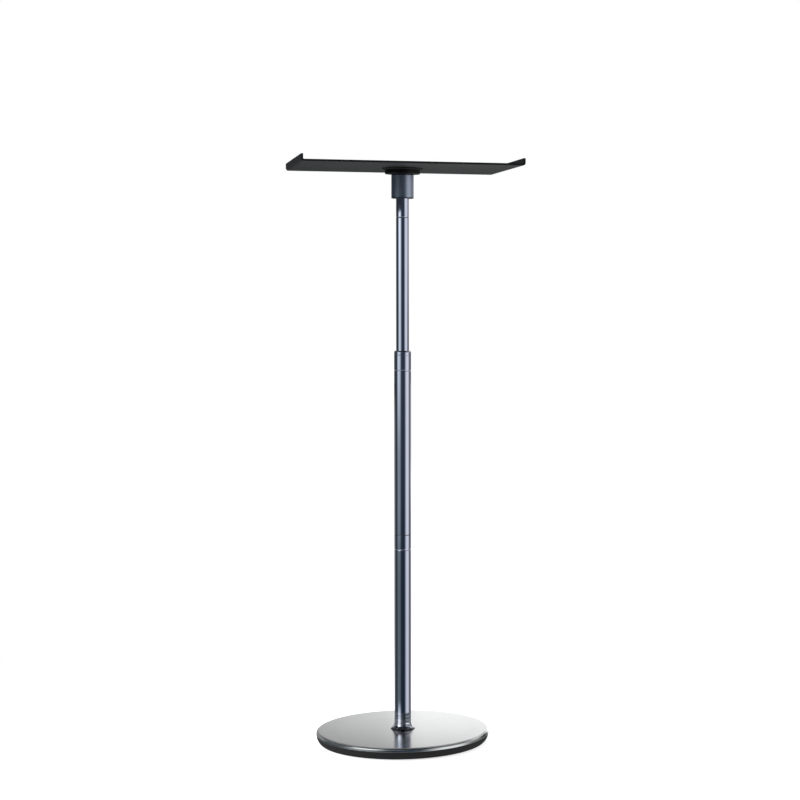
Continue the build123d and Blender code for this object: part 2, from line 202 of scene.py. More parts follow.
class StandSizes(bpy.types.PropertyGroup):
    """Sizes of the forms that the visible pieces add to the frame's own boxes"""

    shoulder_radius: FloatProperty(
        name="Shoulder radius",
        description="Rounding between the base's top and its skirt",
        default=3.5 * MM,
        unit="LENGTH",
    )
    cover_wall: FloatProperty(
        name="Cover wall",
        description="Thickness of the spun cover",
        default=1.5 * MM,
        unit="LENGTH",
    )
    pilot_radius: FloatProperty(
        name="Pilot radius",
        description="Radius of the foot's pilot in the base",
        default=8.0 * MM,
        unit="LENGTH",
    )
    rim_tuck: FloatProperty(
        name="Rim tuck",
        description="How far the weight's rounded rim draws in towards the floor",
        default=5.4 * MM,
        unit="LENGTH",
    )
    tread_depth: FloatProperty(
        name="Tread depth",
        description="Depth of the ribs under the rubber ring",
        default=0.5 * MM,
        unit="LENGTH",
    )
    tread_count: IntProperty(
        name="Tread ribs",
        description="Ribs across the rubber ring",
        default=4,
        min=1,
    )
    groove_width: FloatProperty(
        name="Groove width",
        description="Width of the rolled grooves round the tubes",
        default=1.95 * MM,
        unit="LENGTH",
    )
    groove_depth: FloatProperty(
        name="Groove depth",
        description="Depth of the rolled grooves round the tubes",
        default=0.5 * MM,
        unit="LENGTH",
    )
    tube_wall: FloatProperty(
        name="Tube wall",
        description="Wall of the pole's tubes",
        default=1.2 * MM,
        unit="LENGTH",
    )
    edge_break: FloatProperty(
        name="Edge break",
        description="Small rounding on turned and cut edges",
        default=0.3 * MM,
        unit="LENGTH",
    )
    foot_rim_height: FloatProperty(
        name="Foot rim height",
        description="Upright rim at the bottom of the pole's flared foot",
        default=0.4 * MM,
        unit="LENGTH",
    )
    foot_flare_height: FloatProperty(
        name="Foot flare height",
        description="Height of the flare between the foot's rim and its neck",
        default=10.8 * MM,
        unit="LENGTH",
    )
    collar_rounding: FloatProperty(
        name="Collar rounding",
        description="Rounded shoulder at the top of the outer pole",
        default=2.6 * MM,
        unit="LENGTH",
    )
    socket_chamfer: FloatProperty(
        name="Socket chamfer",
        description="Bevel at both ends of the head socket",
        default=0.6 * MM,
        unit="LENGTH",
    )
    hub_radius: FloatProperty(
        name="Hub radius",
        description="Radius of the lower tier under the tray",
        default=26.0 * MM,
        unit="LENGTH",
    )
    flange_height: FloatProperty(
        name="Flange height",
        description="Height of the upper tier under the tray",
        default=2.6 * MM,
        unit="LENGTH",
    )
    tray_sheet: FloatProperty(
        name="Tray sheet",
        description="Thickness of the tray's sheet",
        default=3.0 * MM,
        unit="LENGTH",
    )
    tray_bend: FloatProperty(
        name="Tray bend",
        description="Inner radius of the bend at each lip",
        default=1.0 * MM,
        unit="LENGTH",
    )
    lip_corner: FloatProperty(
        name="Lip corner",
        description="Rounding of the lips' upper corners",
        default=1.0 * MM,
        unit="LENGTH",
    )
    screw_circle_radius: FloatProperty(
        name="Screw circle radius",
        description="Radius of the circle of screws in the tray",
        default=22.0 * MM,
        unit="LENGTH",
    )
    screw_head_radius: FloatProperty(
        name="Screw head radius",
        description="Radius of a tray screw's countersunk head",
        default=4.0 * MM,
        unit="LENGTH",
    )


class StandFinishes(bpy.types.PropertyGroup):
    """Colours and gloss of the stand's finishes"""

    pole_colour: FloatVectorProperty(
        name="Pole colour",
        description="Blue-grey of the polished tubes",
        default=(0.53, 0.55, 0.67),
        subtype="COLOR",
        min=0.0,
        max=1.0,
    )
    pole_roughness: FloatProperty(
        name="Pole roughness",
        description="Gloss of the polished tubes",
        default=0.06,
        min=0.0,
        max=1.0,
        subtype="FACTOR",
    )
    foot_colour: FloatVectorProperty(
        name="Foot colour",
        description="Bright metal of the pole's flared foot",
        default=(0.72, 0.74, 0.82),
        subtype="COLOR",
        min=0.0,
        max=1.0,
    )
    socket_colour: FloatVectorProperty(
        name="Socket colour",
        description="Blue-grey of the satin head socket",
        default=(0.40, 0.45, 0.55),
        subtype="COLOR",
        min=0.0,
        max=1.0,
    )
    socket_roughness: FloatProperty(
        name="Socket roughness",
        description="Gloss of the satin head socket",
        default=0.36,
        min=0.0,
        max=1.0,
        subtype="FACTOR",
    )
    silver_colour: FloatVectorProperty(
        name="Silver colour",
        description="Colour of the base's satin cover",
        default=(0.74, 0.75, 0.75),
        subtype="COLOR",
        min=0.0,
        max=1.0,
    )
    silver_roughness: FloatProperty(
        name="Silver roughness",
        description="Gloss of the base's satin cover",
        default=0.2,
        min=0.0,
        max=1.0,
        subtype="FACTOR",
    )
    coat_colour: FloatVectorProperty(
        name="Coat colour",
        description="Black of the tray's powder coat",
        default=(0.012, 0.012, 0.0125),
        subtype="COLOR",
        min=0.0,
        max=1.0,
    )
    casting_colour: FloatVectorProperty(
        name="Casting colour",
        description="Charcoal of the base's weight",
        default=(0.03, 0.03, 0.031),
        subtype="COLOR",
        min=0.0,
        max=1.0,
    )


class StandStage(bpy.types.PropertyGroup):
    """Camera and light of the stand's studio"""

    view_azimuth: FloatProperty(
        name="View azimuth",
        description="Direction of the camera round the pole, from the tray's front",
        default=math.radians(-8.396),
        subtype="ANGLE",
    )
    view_distance: FloatProperty(
        name="View distance",
        description="Level distance of the camera from the pole",
        default=2.8876,
        unit="LENGTH",
    )
    view_height: FloatProperty(
        name="View height",
        description="Height of the camera above the floor",
        default=0.6824,
        unit="LENGTH",
    )
    view_pitch: FloatProperty(
        name="View pitch",
        description="How far the camera looks down",
        default=math.radians(3.32),
        subtype="ANGLE",
    )
    view_lens: FloatProperty(
        name="Lens",
        description="Focal length of the camera",
        default=86.71,
        subtype="DISTANCE_CAMERA",
    )
    view_yaw: FloatProperty(
        name="View yaw",
        description="How far the camera looks to the left of the pole",
        default=math.radians(-6.014),
        subtype="ANGLE",
    )
    view_roll: FloatProperty(
        name="View roll",
        description="How far the camera is turned about its own line of sight",
        default=math.radians(0.311),
        subtype="ANGLE",
    )
    view_shift: FloatProperty(
        name="View shift",
        description="Sideways shift of the frame that brings the pole back to its middle",
        default=-0.2566,
    )
    card_distance: FloatProperty(
        name="Card distance",
        description="Distance of the card behind the stand that the base's top mirrors",
        default=1.0,
        unit="LENGTH",
    )
    flag_distance: FloatProperty(
        name="Flag distance",
        description="Distance of the dark flag at the left of the head",
        default=0.5,
        unit="LENGTH",
    )
    flag_level: FloatProperty(
        name="Flag level",
        description="Level of the flag's lower edge",
        default=0.8133,
        unit="LENGTH",
    )
    ambient: FloatProperty(
        name="Ambient",
        description="Even light from all round",
        default=0.2,
        min=0.0,
    )


def spin_round(bm, geom, angle, steps, merge):
    """Turns verts and edges round the pole's axis."""
    bmesh.ops.spin(
        bm,
        geom=geom,
        cent=(0.0, 0.0, 0.0),
        axis=(0.0, 0.0, 1.0),
        angle=angle,
        steps=steps,
        use_merge=merge,
        use_duplicate=False,
    )


def spin_profile(points, steps):
    """A bmesh of a closed profile of (radius, level) points turned round the pole's axis."""
    bm = bmesh.new()
    verts = [bm.verts.new((radius, 0.0, level)) for radius, level in points]
    edges = [bm.edges.new((verts[i - 1], verts[i])) for i in range(len(verts))]
    spin_round(bm, verts + edges, math.tau, steps, merge=True)
    bmesh.ops.recalc_face_normals(bm, faces=bm.faces)
    return bm


def quarter_sweep(across, down, steps):
    """Points of an arc that starts straight down and ends across and down from there."""
    radius = (across**2 + down**2) / (2 * across)
    sweep = math.asin(down / radius)
    turns = [sweep * i / steps for i in range(steps + 1)]
    return [(radius * (1 - math.cos(turn)), radius * math.sin(turn)) for turn in turns]


def round_ring(bm, radius, level, width, segments):
    """Rounds the corner that a profile point left as a ring of edges."""
    ring = [
        edge
        for edge in bm.edges
        if all(
            max(abs(vert.co.z - level), abs(vert.co.xy.length - radius)) < RING_TOLERANCE
            for vert in edge.verts
        )
    ]
    if not ring:
        raise RuntimeError(f"no ring of edges at radius {radius} and level {level}")
    bevel_edges(bm, ring, width, segments)


def bevel_edges(bm, edges, width, segments):
    """Rounds the given edges by the same width."""
    bmesh.ops.bevel(
        bm,
        geom=edges,
        offset=width,
        offset_type="OFFSET",
        segments=segments,
        profile=0.5,
        affect="EDGES",
        material=-1,
        clamp_overlap=True,
    )


def edges_at(bm, level, axis):
    """Edges at a level that run square to an axis, 0 for X and 1 for Y."""
    return [
        edge
        for edge in bm.edges
        if all(abs(vert.co.z - level) < RING_TOLERANCE for vert in edge.verts)
        and abs(edge.verts[0].co[axis] - edge.verts[1].co[axis]) < RING_TOLERANCE
    ]


def mesh_of(name, bm):
    """The mesh of a bmesh, which is freed."""
    mesh = bpy.data.meshes.new(name)
    bm.to_mesh(mesh)
    bm.free()
    return mesh


def add_object(name, data):
    """A new object in the scene."""
    made = bpy.data.objects.new(name, data)
    bpy.context.scene.collection.objects.link(made)
    return made


def outward(turn):
    """Level direction away from the pole at an azimuth."""
    return Vector((math.sin(turn), -math.cos(turn), 0.0))


def make_piece(name, bm, material, body, slot, *nodes):
    """Turns a bmesh into a smooth piece that rides on a body and stands for CAD nodes."""
    mesh = mesh_of(name, bm)
    mesh.shade_smooth()
    mesh.set_sharp_from_angle(angle=SHARP_ANGLE)
    mesh.materials.append(material)
    piece = add_object(name, mesh)
    weights = piece.modifiers.new("Even shading", "WEIGHTED_NORMAL")
    weights.keep_sharp = True
    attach(piece, body)
    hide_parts(*nodes)
    return piece


def dress_node(node, material):
    """Gives a CAD node a finish of its own."""
    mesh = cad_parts[node].data
    mesh.materials.clear()
    mesh.materials.append(material)


def set_sockets(node, values):
    """Sets a node's inputs by their names."""
    for name, value in values.items():
        node.inputs[name].default_value = value


def add_node(tree, kind, **values):
    """A new node of a tree, with values for its inputs."""
    made = tree.nodes.new(kind)
    set_sockets(made, values)
    return made


def bare_tree(owner):
    """The emptied node tree of a material or a world."""
    owner.use_nodes = True
    owner.node_tree.nodes.clear()
    return owner.node_tree


def join(source, output, target, entry):
    """Links an output of one node to an input of another."""
    source.id_data.links.new(source.outputs[output], target.inputs[entry])


def new_group(name, scale, kind, mask):
    """A shader node group that takes two scales and gives a mask and a drift."""
    group = bpy.data.node_groups.new(name, "ShaderNodeTree")
    for socket, sort in ((scale, kind), ("Drift scale", "NodeSocketFloat")):
        group.interface.new_socket(socket, in_out="INPUT", socket_type=sort)
    for socket in (mask, "Drift"):
        group.interface.new_socket(socket, in_out="OUTPUT", socket_type="NodeSocketFloat")
    return group


def end_group(group, given, place, noise, mask):
    """Gives out a noise as the group's mask, and a slower drift of tone."""
    result = add_node(group, "NodeGroupOutput")
    drift = add_node(group, "ShaderNodeTexNoise", Detail=2.0)
    join(place, "Object", drift, "Vector")
    join(given, "Drift scale", drift, "Scale")
    join(noise, "Fac", result, mask)
    join(drift, "Fac", result, "Drift")
    return group


def grain_group():
    """Fine grain stretched along one axis, with a slower drift of tone over it."""
    name = "Surface grain"
    if name in bpy.data.node_groups:
        return bpy.data.node_groups[name]
    group = new_group(name, "Grain scale", "NodeSocketVector", "Grain")
    given = add_node(group, "NodeGroupInput")
    place = add_node(group, "ShaderNodeTexCoord")
    stretch = add_node(group, "ShaderNodeVectorMath")
    stretch.operation = "MULTIPLY"
    grain = add_node(group, "ShaderNodeTexNoise", Scale=1.0, Detail=3.0, Roughness=0.6)
    join(place, "Object", stretch, 0)
    join(given, "Grain scale", stretch, 1)
    join(stretch, "Vector", grain, "Vector")
    return end_group(group, given, place, grain, "Grain")


def turned_group():
    """Concentric tool marks round the pole's axis, with a slower drift of tone over them."""
    name = "Turned marks"
    if name in bpy.data.node_groups:
        return bpy.data.node_groups[name]
    group = new_group(name, "Mark scale", "NodeSocketFloat", "Marks")
    given = add_node(group, "NodeGroupInput")
    place = add_node(group, "ShaderNodeTexCoord")
    split = add_node(group, "ShaderNodeSeparateXYZ")
    flat = add_node(group, "ShaderNodeCombineXYZ")
    radius = add_node(group, "ShaderNodeVectorMath")
    radius.operation = "LENGTH"
    around = add_node(group, "ShaderNodeCombineXYZ")
    scaled = add_node(group, "ShaderNodeVectorMath")
    scaled.operation = "SCALE"
    marks = add_node(group, "ShaderNodeTexNoise", Scale=1.0, Detail=2.0)
    join(place, "Object", split, "Vector")
    join(split, "X", flat, "X")
    join(split, "Y", flat, "Y")
    join(flat, "Vector", radius, 0)
    join(radius, "Value", around, "X")
    join(split, "Z", around, "Y")
    join(around, "Vector", scaled, 0)
    join(given, "Mark scale", scaled, "Scale")
    join(scaled, "Vector", marks, "Vector")
    return end_group(group, given, place, marks, "Marks")


def new_finish(name):
    """A material and its shader, or the one already made under that name and no shader."""
    full_name = f"{name}_finish"
    made = bpy.data.materials.get(full_name)
    if made:
        return made, None
    made = bpy.data.materials.new(full_name)
    made.use_nodes = True
    return made, made.node_tree.nodes["Principled BSDF"]


def vary_gloss(source, mask, shader, roughness, change):
    """Feeds the roughness with two near values, mixed by the middle range of a mask."""
    spread = add_node(shader.id_data, "ShaderNodeMapRange")
    low, high = roughness * (1.0 - change), roughness * (1.0 + change)
    set_sockets(spread, {"From Min": MASK_LOW, "From Max": MASK_HIGH, "To Min": low, "To Max": high})
    join(source, mask, spread, "Value")
    join(spread, "Result", shader, "Roughness")


def tint(source, mask, target, entry, colour, change):
    """Feeds a colour socket with two near tones of a colour, mixed by a mask."""
    mix = add_node(target.id_data, "ShaderNodeMix")
    mix.data_type = "RGBA"
    mix.inputs["A"].default_value = (*[part * (1.0 - change) for part in colour], 1.0)
    mix.inputs["B"].default_value = (*[min(part * (1.0 + change), 1.0) for part in colour], 1.0)
    join(source, mask, mix, "Factor")
    join(mix, "Result", target, entry)


def emboss(source, mask, shader, distance, strength):
    """Raises a mask as a bump under the shader."""
    bump = add_node(shader.id_data, "ShaderNodeBump", Distance=distance, Strength=strength)
    join(source, mask, bump, "Height")
    join(bump, "Normal", shader, "Normal")


def paint_corner_shade(shader, level, height):
    """Paints shade into the colour, darker in the corner just over a level, and gives the node that
    takes the colour.
    """
    place = add_node(shader.id_data, "ShaderNodeTexCoord")
    split = add_node(shader.id_data, "ShaderNodeSeparateXYZ")
    fade = add_node(shader.id_data, "ShaderNodeMapRange")
    fade.interpolation_type = "SMOOTHERSTEP"
    set_sockets(fade, {"From Min": level, "From Max": level + height, "To Min": SHADE_SHARE})
    shade = add_node(shader.id_data, "ShaderNodeMix")
    shade.data_type = "RGBA"
    shade.blend_type = "MULTIPLY"
    shade.inputs["Factor"].default_value = 1.0
    join(place, "Object", split, "Vector")
    join(split, "Z", fade, "Value")
    join(fade, "Result", shade, "B")
    join(shade, "Result", shader, "Base Color")
    return shade


def paint_metal(source, shader, colour, change, corner):
    """Makes the shader a metal of a drifting colour, with painted shade in a corner where asked for."""
    shader.inputs["Metallic"].default_value = 1.0
    if corner:
        tint(source, "Drift", paint_corner_shade(shader, *corner), "A", colour, change)
    else:
        tint(source, "Drift", shader, "Base Color", colour, change)


def drawn_metal(name, colour, roughness, corner=None):
    """Polished tube: fine draw lines along the pole."""
    made, shader = new_finish(name)
    if shader:
        grain = add_node(made.node_tree, "ShaderNodeGroup")
        grain.node_tree = grain_group()
        set_sockets(grain, {"Grain scale": (2600.0, 2600.0, 8.0), "Drift scale": 22.0})
        paint_metal(grain, shader, colour, change=0.03, corner=corner)
        vary_gloss(grain, "Grain", shader, roughness, change=0.06)
        emboss(grain, "Grain", shader, distance=0.01 * MM, strength=0.02)
    return made


def turned_metal(name, colour, roughness, mark_scale, mark_strength, corner=None):
    """Satin metal with concentric turning marks."""
    made, shader = new_finish(name)
    if shader:
        marks = add_node(made.node_tree, "ShaderNodeGroup")
        marks.node_tree = turned_group()
        set_sockets(marks, {"Mark scale": mark_scale, "Drift scale": 16.0})
        paint_metal(marks, shader, colour, change=0.025, corner=corner)
        vary_gloss(marks, "Marks", shader, roughness, change=0.1)
        emboss(marks, "Marks", shader, distance=0.01 * MM, strength=mark_strength)
    return made


def grained_coat(name, colour):
    """Powder coat, casting skin, rubber or plastic: an even speckle with a soft relief."""
    made, shader = new_finish(name)
    if shader:
        roughness, grain_size, relief, specular = COATS[name]
        set_sockets(shader, {"Metallic": 0.0, "Specular IOR Level": specular})
        grain = add_node(made.node_tree, "ShaderNodeGroup")
        grain.node_tree = grain_group()
        pitch = 1.0 / grain_size
        set_sockets(grain, {"Grain scale": (pitch, pitch, pitch), "Drift scale": 20.0})
        tint(grain, "Grain", shader, "Base Color", colour, change=0.18)
        vary_gloss(grain, "Drift", shader, roughness, change=0.07)
        emboss(grain, "Grain", shader, distance=relief, strength=0.6)
    return made


def black_plastic():
    """Bushings, washer and coupling."""
    return grained_coat("black_moulded_plastic", PLASTIC_COLOUR)


def plated_steel():
    """The bolts."""
    return turned_metal(
        "plated_steel", STEEL_COLOUR, roughness=0.32, mark_scale=4000.0, mark_strength=0.2
    )


def pole_metal(context):
    """The polished blue-grey of the tubes."""
    finishes = context.scene.stand_finishes
    return drawn_metal("polished_blue_grey", finishes.pole_colour, finishes.pole_roughness)


class STAND_OT_base(bpy.types.Operator):
    """Spin the base's cover, weight and rubber ring"""

    bl_idname = "stand.base"
    bl_label = "Base"

    def execute(self, context):
        sizes = context.scene.stand_sizes
        finishes = context.scene.stand_finishes
        self.cover(sizes, finishes)
        self.weight(sizes, finishes)
        self.foot_ring(sizes)
        dress_node("base_bolt", plated_steel())
        return {"FINISHED"}

    def cover(self, sizes, finishes):
        radius = node_radius("base_cover")
        bottom, top = node_span("base_cover")
        wall = sizes.cover_wall
        bore = sizes.pilot_radius
        bm = spin_profile(
            [
                (bore, top),
                (radius, top),
                (radius, bottom),
                (radius - wall, bottom),
                (radius - wall, top - wall),
                (bore, top - wall),
            ],
            BASE_STEPS,
        )
        round_ring(bm, radius, top, sizes.shoulder_radius, 16)
        round_ring(bm, radius - wall, top - wall, sizes.shoulder_radius - wall, 8)
        round_ring(bm, radius, bottom, sizes.edge_break, 3)
        silver = turned_metal(
            "satin_silver",
            finishes.silver_colour,
            finishes.silver_roughness,
            mark_scale=2200.0,
            mark_strength=0.05,
        )
        make_piece("base_cover_spun", bm, silver, "stand", "satin_silver", "base_cover")

    def weight(self, sizes, finishes):
        bottom, top = node_span("base_weight")
        rim = node_radius("base_weight")
        skirt = node_span("base_cover")[0]
        core = node_radius("base_cover") - sizes.cover_wall - FIT_GAP
        ring_radius = node_radius("base_foot_ring")
        ring_top = node_span("base_foot_ring")[1]
        ring_inner = ring_radius - RING_WIDTH
        ceiling = bottom + RECESS_HEIGHT
        head_level = bottom + BOLT_HEAD_DEPTH
        pilot, pilot_floor = sizes.pilot_radius + FIT_GAP, top - PILOT_DEPTH
        swept = quarter_sweep(sizes.rim_tuck, skirt - bottom, steps=12)
        tuck = [(rim - inward, skirt - drop) for inward, drop in swept]
        bm = spin_profile(
            [
                (pilot, top),
                (core, top),
                (core, skirt),
                *tuck,
                (ring_radius, bottom),
                (ring_radius, ring_top),
                (ring_inner, ring_top),
                (ring_inner, bottom),
                (RECESS_RADIUS, bottom),
                (RECESS_RADIUS, ceiling),
                (WEIGHT_HUB_RADIUS, ceiling),
                (WEIGHT_HUB_RADIUS, bottom),
                (BOLT_HEAD_BORE, bottom),
                (BOLT_HEAD_BORE, head_level),
                (BOLT_BORE, head_level + BOLT_HEAD_BORE - BOLT_BORE),
                (BOLT_BORE, pilot_floor),
                (pilot, pilot_floor),
            ],
            BASE_STEPS,
        )
        round_ring(bm, core, top, sizes.shoulder_radius - sizes.cover_wall, 8)
        round_ring(bm, rim, skirt, sizes.edge_break, 3)
        round_ring(bm, rim - sizes.rim_tuck, bottom, WEIGHT_RIM_EDGE, 3)
        for level, width, segments in ((ceiling, CASTING_FILLET, 5), (bottom, CASTING_EDGE, 3)):
            for radius in (RECESS_RADIUS, WEIGHT_HUB_RADIUS):
                round_ring(bm, radius, level, width, segments)
        casting = grained_coat("charcoal_casting", finishes.casting_colour)
        make_piece("base_weight_cast", bm, casting, "stand", "charcoal_casting", "base_weight")

    def foot_ring(self, sizes):
        outer = node_radius("base_foot_ring")
        bottom, top = node_span("base_foot_ring")
        inner = outer - RING_WIDTH
        pitch = (outer - inner) / sizes.tread_count
        rib = RIB_SHARE * pitch
        points = [(inner, top)]
        for i in range(sizes.tread_count):
            start = inner + i * pitch + (pitch - rib) / 2
            points += [
                (start - RIB_SLOPE * pitch if i else inner, bottom + sizes.tread_depth),
                (start, bottom),
                (start + rib, bottom),
                (start + (1 + RIB_SLOPE) * rib, bottom + sizes.tread_depth),
            ]
        points += [(outer, bottom + sizes.tread_depth), (outer, top)]
        bm = spin_profile(points, BASE_STEPS)
        rubber = grained_coat("black_rubber", RUBBER_COLOUR)
        make_piece("base_ring_moulded", bm, rubber, "stand", "black_rubber", "base_foot_ring")


class STAND_OT_foot(bpy.types.Operator):
    """Spin the pole's flared foot"""

    bl_idname = "stand.foot"
    bl_label = "Pole foot"

    def execute(self, context):
        sizes = context.scene.stand_sizes
        finishes = context.scene.stand_finishes
        rim = node_radius("pole_foot")
        bottom, top = node_span("pole_foot")
        neck = node_radius("lower_tube")
        seat = node_span("base_cover")[1]
        joint = node_span("lower_tube")[0]
        spigot = neck - sizes.tube_wall - FIT_GAP
        flare_bottom = seat + sizes.foot_rim_height
        flare_top = flare_bottom + sizes.foot_flare_height
        swept = quarter_sweep(rim - neck, sizes.foot_flare_height, steps=12)
        flare = [(neck + across, flare_top - drop) for across, drop in reversed(swept)]
        bm = spin_profile(
            [
                (BOLT_BORE, bottom),
                (sizes.pilot_radius, bottom),
                (sizes.pilot_radius, seat),
                (rim, seat),
                *flare,
                (neck, joint),
                (spigot, joint),
                (spigot, top),
                (BOLT_BORE, top),
            ],
            POLE_STEPS,
        )
        for level in (seat, flare_bottom):
            round_ring(bm, rim, level, FOOT_RIM_SHARE * sizes.foot_rim_height, 2)
        round_ring(bm, neck, joint, sizes.edge_break, 2)
        # Painted shade on the flare's lowest part, where it meets the base's top
        corner = (seat, FOOT_SHADE_HEIGHT)
        metal = drawn_metal("polished_foot", finishes.foot_colour, finishes.pole_roughness, corner)
        make_piece("pole_foot_turned", bm, metal, "stand", "polished_pole", "pole_foot")
        return {"FINISHED"}


class STAND_OT_tubes(bpy.types.Operator):
    """Roll the pole's tubes with their grooves and the collar"""

    bl_idname = "stand.tubes"
    bl_label = "Tubes and collar"

    def execute(self, context):
        sizes = context.scene.stand_sizes
        metal = pole_metal(context)
        low, high = node_span("lower_tube")
        self.tube(sizes, metal, "lower_tube", "stand", [low + FOOT_GROOVE, high - COUPLING_GROOVE])
        high = node_span("middle_tube")[1]
        self.tube(sizes, metal, "middle_tube", "stand", [high - COLLAR_GROOVE])
        socket = node_span("head_socket")[0]
        self.tube(sizes, metal, "inner_tube", "mast", [socket - HEAD_GROOVE])
        self.collar(sizes, metal)
        for node in ("tube_coupling", "guide_bushing", "slider"):
            dress_node(node, black_plastic())
        return {"FINISHED"}

    def tube(self, sizes, metal, node, body, grooves):
        radius = node_radius(node)
        bottom, top = node_span(node)
        bore = radius - sizes.tube_wall
        half = sizes.groove_width / 2
        points = [(bore, bottom), (radius, bottom)]
        for level in grooves:
            floor = radius - sizes.groove_depth
            points += [(radius, level - half), (floor, level), (radius, level + half)]
        points += [(radius, top), (bore, top)]
        bm = spin_profile(points, POLE_STEPS)
        for level in (bottom, top):
            round_ring(bm, radius, level, sizes.edge_break, 2)
        for level in grooves:
            round_ring(bm, radius - sizes.groove_depth, level, GROOVE_FLOOR_SHARE * half, 5)
            for side in (-half, half):
                round_ring(bm, radius, level + side, GROOVE_EDGE_SHARE * half, 2)
        make_piece(f"{node}_rolled", bm, metal, body, "polished_pole", node)

    def collar(self, sizes, metal):
        radius = node_radius("collar")
        bottom, top = node_span("collar")
        seam = node_span("middle_tube")[1]
        spigot = radius - sizes.tube_wall - FIT_GAP
        bore = node_radius("inner_tube") + SLIDE_GAP
        bm = spin_profile(
            [
                (bore, bottom),
                (spigot, bottom),
                (spigot, seam),
                (radius, seam),
                (radius, top),
                (bore, top),
            ],
            POLE_STEPS,
        )
        round_ring(bm, radius, top, sizes.collar_rounding, 8)
        round_ring(bm, radius, seam, sizes.edge_break, 2)
        make_piece("collar_turned", bm, metal, "stand", "polished_pole", "collar")


class STAND_OT_head(bpy.types.Operator):
    """Turn the head socket and the tray's flange"""

    bl_idname = "stand.head"
    bl_label = "Head and flange"

    def execute(self, context):
        sizes = context.scene.stand_sizes
        finishes = context.scene.stand_finishes
        self.socket(sizes, finishes)
        self.flange(sizes)
        dress_node("swivel_washer", black_plastic())
        dress_node("pivot_bolt", plated_steel())
        return {"FINISHED"}

    def socket(self, sizes, finishes):
        radius = node_radius("head_socket")
        bottom, top = node_span("head_socket")
        seat = node_span("inner_tube")[1]
        bore = node_radius("inner_tube") + FIT_GAP
        bm = spin_profile(
            [
                (bore, bottom),
                (radius, bottom),
                (radius, top),
                (BOLT_BORE, top),
                (BOLT_BORE, seat),
                (bore, seat),
            ],
            POLE_STEPS,
        )
        for level in (bottom, top):
            round_ring(bm, radius, level, sizes.socket_chamfer, 3)
        metal = turned_metal(
            "satin_blue_grey",
            finishes.socket_colour,
            finishes.socket_roughness,
            mark_scale=2600.0,
            mark_strength=0.12,
            # Painted shade at the socket's lower end, over the inner tube
            corner=(bottom, SOCKET_SHADE_HEIGHT),
        )
        make_piece("head_socket_turned", bm, metal, "mast", "satin_blue_grey", "head_socket")

    def flange(self, sizes):
        radius = node_radius("tray_flange")
        bottom, top = node_span("tray_flange")
        tier = top - sizes.flange_height
        hub = sizes.hub_radius
        seat = top - PIVOT_SEAT_DEPTH
        bm = spin_profile(
            [
                (PIVOT_BORE, bottom),
                (hub, bottom),
                (hub, tier),
                (radius - FLANGE_BEVEL, tier),
                (radius, tier + FLANGE_BEVEL),
                (radius, top),
                (PIVOT_SEAT_RADIUS, top),
                (PIVOT_SEAT_RADIUS, seat),
                (PIVOT_BORE, seat),
            ],
            FLANGE_STEPS,
        )
        round_ring(bm, hub, bottom, HUB_EDGE, 4)
        round_ring(bm, radius, tier + FLANGE_BEVEL, sizes.edge_break, 3)
        round_ring(bm, radius, top, sizes.edge_break, 2)
        coat = grained_coat("black_turned_coat", TURNED_COLOUR)
        make_piece("tray_flange_turned", bm, coat, "tray", "black_coated_steel", "tray_flange")


